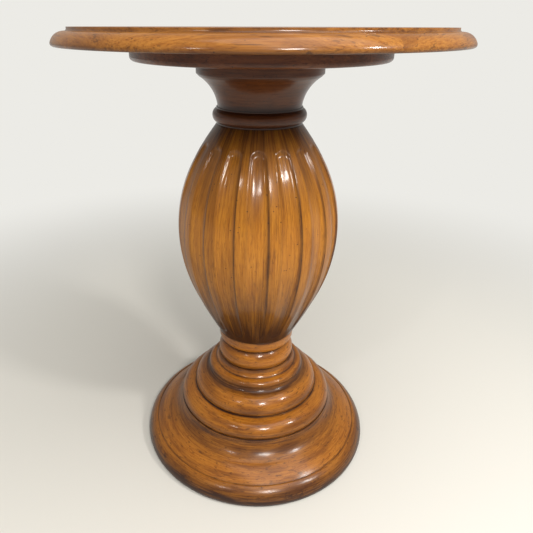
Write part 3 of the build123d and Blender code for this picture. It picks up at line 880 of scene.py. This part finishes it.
# Screws, eight up through the disc into the panel. Each has a countersunk head with a crossed
# recess and a rolled thread, is zinc plated, and stands turned as it happened to be driven.
def ring_of_tree():
    """Geometry Nodes: copies of a shape on a circle about the axis, each turned by chance."""
    tree = bpy.data.node_groups.new("ring_of_like_pieces", "GeometryNodeTree")
    interface = tree.interface
    interface.new_socket("Geometry", in_out="INPUT", socket_type="NodeSocketGeometry")
    sizes = (
        ("Count", "NodeSocketInt", 8),
        ("Circle Radius", "NodeSocketFloat", 0.135),
        ("Start Angle", "NodeSocketFloat", 0.0),
        ("Seed", "NodeSocketInt", 4),
    )
    for name, kind, value in sizes:
        interface.new_socket(name, in_out="INPUT", socket_type=kind).default_value = value
    interface.new_socket("Finish", in_out="INPUT", socket_type="NodeSocketMaterial")
    interface.new_socket("Geometry", in_out="OUTPUT", socket_type="NodeSocketGeometry")
    given = tree.nodes.new("NodeGroupInput")
    sent = tree.nodes.new("NodeGroupOutput")
    circle = tree.nodes.new("GeometryNodeMeshCircle")
    placed = tree.nodes.new("GeometryNodeTransform")
    spin = tree.nodes.new("ShaderNodeCombineXYZ")
    copies = tree.nodes.new("GeometryNodeInstanceOnPoints")
    chance = tree.nodes.new("FunctionNodeRandomValue")
    own_turn = tree.nodes.new("ShaderNodeCombineXYZ")
    chance.data_type = "FLOAT"
    chance.inputs["Max"].default_value = 2 * pi
    realized = tree.nodes.new("GeometryNodeRealizeInstances")
    finished = tree.nodes.new("GeometryNodeSetMaterial")
    link(tree, given.outputs["Count"], circle.inputs["Vertices"])
    link(tree, given.outputs["Circle Radius"], circle.inputs["Radius"])
    link(tree, circle.outputs[0], placed.inputs["Geometry"])
    link(tree, given.outputs["Start Angle"], spin.inputs["Z"])
    link(tree, spin.outputs[0], placed.inputs["Rotation"])
    link(tree, placed.outputs[0], copies.inputs["Points"])
    link(tree, given.outputs["Geometry"], copies.inputs["Instance"])
    link(tree, given.outputs["Seed"], chance.inputs["Seed"])
    link(tree, chance.outputs["Value"], own_turn.inputs["Z"])
    link(tree, own_turn.outputs[0], copies.inputs["Rotation"])
    link(tree, copies.outputs[0], realized.inputs[0])
    link(tree, realized.outputs[0], finished.inputs["Geometry"])
    link(tree, given.outputs["Finish"], finished.inputs["Material"])
    link(tree, finished.outputs[0], sent.inputs[0])
    return tree


ring_tree = ring_of_tree()
screw_low, screw_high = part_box("top_screws")[0].z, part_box("top_screws")[1].z
head_radius = 0.0042
shank_radius = 0.0022
root_radius = shank_radius * 0.78
head_slope = 0.869  # the tangent of half the countersink's angle
head_rise = (head_radius - shank_radius) / head_slope
head_rings = 18
plain_shank = 0.004
thread_turns = 14
thread_pitch = 0.0015
arm_half_width = 0.000715
arm_reach = 0.0023
arm_side_slope = 0.0003
arm_end_slope = 0.0006
recess_depth = 0.0013
screw_profile = [(head_radius * k / head_rings, 0.0) for k in range(1, head_rings + 1)]
screw_profile += [(shank_radius, head_rise)]
for turn_number in range(thread_turns):
    height = head_rise + plain_shank + turn_number * thread_pitch
    screw_profile += [(root_radius, height), (shank_radius, height + thread_pitch / 2)]
screw_profile += [(shank_radius * 0.5, screw_high - screw_low - thread_pitch)]
screw_mesh = bpy.data.meshes.new("screw")
work = bmesh.new()
screw_steps = 40
rings = []
for radius, height in screw_profile:
    ring_points = []
    for step in range(screw_steps):
        angle = 2 * pi * step / screw_steps
        x, y = radius * cos(angle), radius * sin(angle)
        sink = 0.0
        if height == 0.0:
            for along_arm, across_arm in ((abs(x), abs(y)), (abs(y), abs(x))):
                reach_left = min(1.0, max(0.0, (arm_reach - along_arm) / arm_end_slope))
                width_left = min(1.0, max(0.0, (arm_half_width - across_arm) / arm_side_slope))
                sink = max(sink, recess_depth * reach_left * width_left)
        ring_points.append(work.verts.new((x, y, screw_low + height + sink)))
    rings.append(ring_points)
for lower, upper in zip(rings, rings[1:]):
    for step in range(screw_steps):
        after = (step + 1) % screw_steps
        work.faces.new((lower[step], lower[after], upper[after], upper[step]))
for ring_points, height in ((rings[0], screw_low + recess_depth), (rings[-1], screw_high)):
    pole = work.verts.new((0, 0, height))
    for step in range(screw_steps):
        work.faces.new((pole, ring_points[step], ring_points[(step + 1) % screw_steps]))
bmesh.ops.recalc_face_normals(work, faces=work.faces)
work.to_mesh(screw_mesh)
work.free()
screw_mesh.shade_smooth()
screw_mesh.set_sharp_from_angle(angle=radians(35))
screw_host = bpy.data.objects.new("screw", screw_mesh)
scene.collection.objects.link(screw_host)
screws = made_by_nodes("screws_under_top", screw_host, ring_tree, {
    "Count": 8, "Circle Radius": 0.135, "Start Angle": radians(22.5), "Finish": zinc})
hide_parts("top_screws")
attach(screws, "root")


# Glides, four pads punched from pressed brown felt and stuck under the plinth. Their lower
# edges are softened, and their undersides are a little lumpy.
felt, felt_tree, felt_shader = new_material("brown_felt")
felt_place = felt_tree.nodes.new("ShaderNodeTexCoord")
fibres = noise_node(felt_tree, felt_place.outputs["Object"], (900.0, 900.0, 900.0), 5.0, 0.7)
felt_tone = blend_colour(felt_tree, fibres, (0.05, 0.03, 0.02), (0.16, 0.11, 0.08))
link(felt_tree, felt_tone, felt_shader.inputs["Base Color"])
felt_shader.inputs["Roughness"].default_value = 0.95
felt_shader.inputs["Sheen Weight"].default_value = 0.3
bump_node(felt_tree, fibres, 0.6, 0.0004, felt_shader.inputs["Normal"])
pad_radius = 0.012
middle_hole = 0.0004
pad_outline = run_of([
    (middle_hole, plinth_low),
    ((pad_radius - 0.0004, plinth_low), 0),
    ((pad_radius - 0.0003, 0.0005), 0.0003),
    ((pad_radius - 0.0009, 0.0), 0.0001),
    ((middle_hole, 0.0), 0),
])
pad = turned_piece("pad", pad_outline, [], [], turn_steps=48)
merge_gap = 0.00005
lump_zone = 0.0006
lump_height = 0.00012
lump_fineness = 900.0
work = bmesh.new()
work.from_mesh(pad.data)
bmesh.ops.remove_doubles(work, verts=work.verts, dist=merge_gap)
for vertex in work.verts:
    if vertex.co.z < lump_zone and hypot(vertex.co.x, vertex.co.y) > lump_zone:
        vertex.co.z += lump_height * max(0.0, noise.noise(vertex.co * lump_fineness))
work.to_mesh(pad.data)
work.free()
pads = made_by_nodes("felt_glides", pad, ring_tree, {
    "Count": 4, "Circle Radius": 0.160, "Start Angle": radians(45), "Finish": felt})
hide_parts("glides")
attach(pads, "root")


# Studio: a pale matt floor that fades into the wall's colour away from the table, three small
# soft lamps in front, which make the highlights, and a broad one overhead.
wall_colour = (0.84, 0.83, 0.79, 1)
fade_start, fade_end = 0.45, 1.5
reach = 6.0
floor_mesh = bpy.data.meshes.new("floor")
floor_mesh.from_pydata(
    [(-reach, -reach, 0), (reach, -reach, 0), (reach, reach, 0), (-reach, reach, 0)],
    [], [(0, 1, 2, 3)],
)
floor = bpy.data.objects.new("floor", floor_mesh)
scene.collection.objects.link(floor)


def ray_kinds(tree):
    """What is seen directly, and what is seen in a reflection or through glass."""
    rays = tree.nodes.new("ShaderNodeLightPath")
    mirrored = math_node(tree, "MAXIMUM", rays.outputs["Is Glossy Ray"],
                         rays.outputs["Is Transmission Ray"])
    return rays.outputs["Is Camera Ray"], mirrored


pale, pale_tree, pale_shader = new_material("pale_floor")
pale_shader.inputs["Base Color"].default_value = (0.76, 0.74, 0.68, 1)
pale_shader.inputs["Roughness"].default_value = 0.6
away = pale_tree.nodes.new("ShaderNodeVectorMath")
away.operation = "LENGTH"
link(pale_tree, pale_tree.nodes.new("ShaderNodeTexCoord").outputs["Object"], away.inputs[0])
shown = math_node(pale_tree, "MAXIMUM", *ray_kinds(pale_tree))
fade = math_node(pale_tree, "MULTIPLY", shown,
                 ramp_node(pale_tree, away.outputs["Value"], fade_start, fade_end))
glow = pale_tree.nodes.new("ShaderNodeEmission")
glow.inputs["Color"].default_value = wall_colour
joined = pale_tree.nodes.new("ShaderNodeMixShader")
link(pale_tree, fade, joined.inputs[0])
link(pale_tree, pale_shader.outputs[0], joined.inputs[1])
link(pale_tree, glow.outputs[0], joined.inputs[2])
link(pale_tree, joined.outputs[0], pale_tree.nodes["Material Output"].inputs["Surface"])
floor_mesh.materials.append(pale)


def soft_light(name, place, aim_height, size, power, colour):
    """A square area lamp, aimed at the table's axis."""
    light = bpy.data.lights.new(name, "AREA")
    light.shape = "SQUARE"
    light.size = size
    light.energy = power
    light.color = colour
    lamp = bpy.data.objects.new(name, light)
    lamp.location = place
    lamp.rotation_mode = "QUATERNION"
    aim = Vector((0, 0, aim_height))
    lamp.rotation_quaternion = (aim - Vector(place)).to_track_quat("-Z", "Y")
    scene.collection.objects.link(lamp)


soft_light("front_lamp", (0.40, -1.50, 1.40), 0.3, 0.30, 19, (1.0, 0.97, 0.93))
soft_light("right_lamp", (1.30, -0.80, 1.45), 0.3, 0.20, 12.5, (1.0, 0.98, 0.95))
soft_light("left_lamp", (-0.80, -1.30, 1.40), 0.3, 0.14, 3, (1.0, 0.98, 0.95))
soft_light("ceiling", (0.45, -0.55, 2.5), 0.2, 2.0, 32, (1.0, 1.0, 1.0))

# The wall shows at full strength, and dimmer in reflections and as light on the table.
lit_strength, mirrored_extra = 0.34, 0.22
world = bpy.data.worlds.new("studio")
scene.world = world
world.use_nodes = True
world_tree = world.node_tree
sky = world_tree.nodes["Background"]
sky.inputs["Color"].default_value = wall_colour
direct, mirrored = ray_kinds(world_tree)
strength = math_node(world_tree, "ADD",
                     math_node(world_tree, "MULTIPLY", direct, 1 - lit_strength),
                     math_node(world_tree, "MULTIPLY", mirrored, mirrored_extra))
strength = math_node(world_tree, "ADD", strength, lit_strength)
link(world_tree, strength, sky.inputs["Strength"])


# Camera, at the photograph's place: level with the top and looking down at the base. The place
# and the lens come from the table's ellipses and outlines there, in pixels of that picture.
focal_pixels = 492.0
photo_width = 533.0
optical_axis = (242.5, 255.0)
distance = 0.684
eye_height = 0.6425
pitch_down = radians(25)
side_turn = 0.033
roll = radians(0.15)
camera_data = bpy.data.cameras.new("camera")
camera_data.sensor_width = 36.0
camera_data.lens = focal_pixels / photo_width * camera_data.sensor_width
camera_data.shift_x = (photo_width / 2 - optical_axis[0]) / photo_width
camera_data.shift_y = (optical_axis[1] - photo_width / 2) / photo_width
camera_data.clip_start = 0.05
camera = bpy.data.objects.new("camera", camera_data)
turn = Matrix.Rotation(atan(side_turn), 4, "Z")
tilt = Matrix.Rotation(pi / 2 - pitch_down, 4, "X")
level = Matrix.Rotation(roll, 4, "Z")
camera.location = (0, -distance * hypot(1, side_turn), eye_height)
camera.rotation_mode = "QUATERNION"
camera.rotation_quaternion = (turn @ tilt @ level).to_quaternion()
scene.collection.objects.link(camera)
scene.camera = camera
scene.view_settings.view_transform = "Standard"
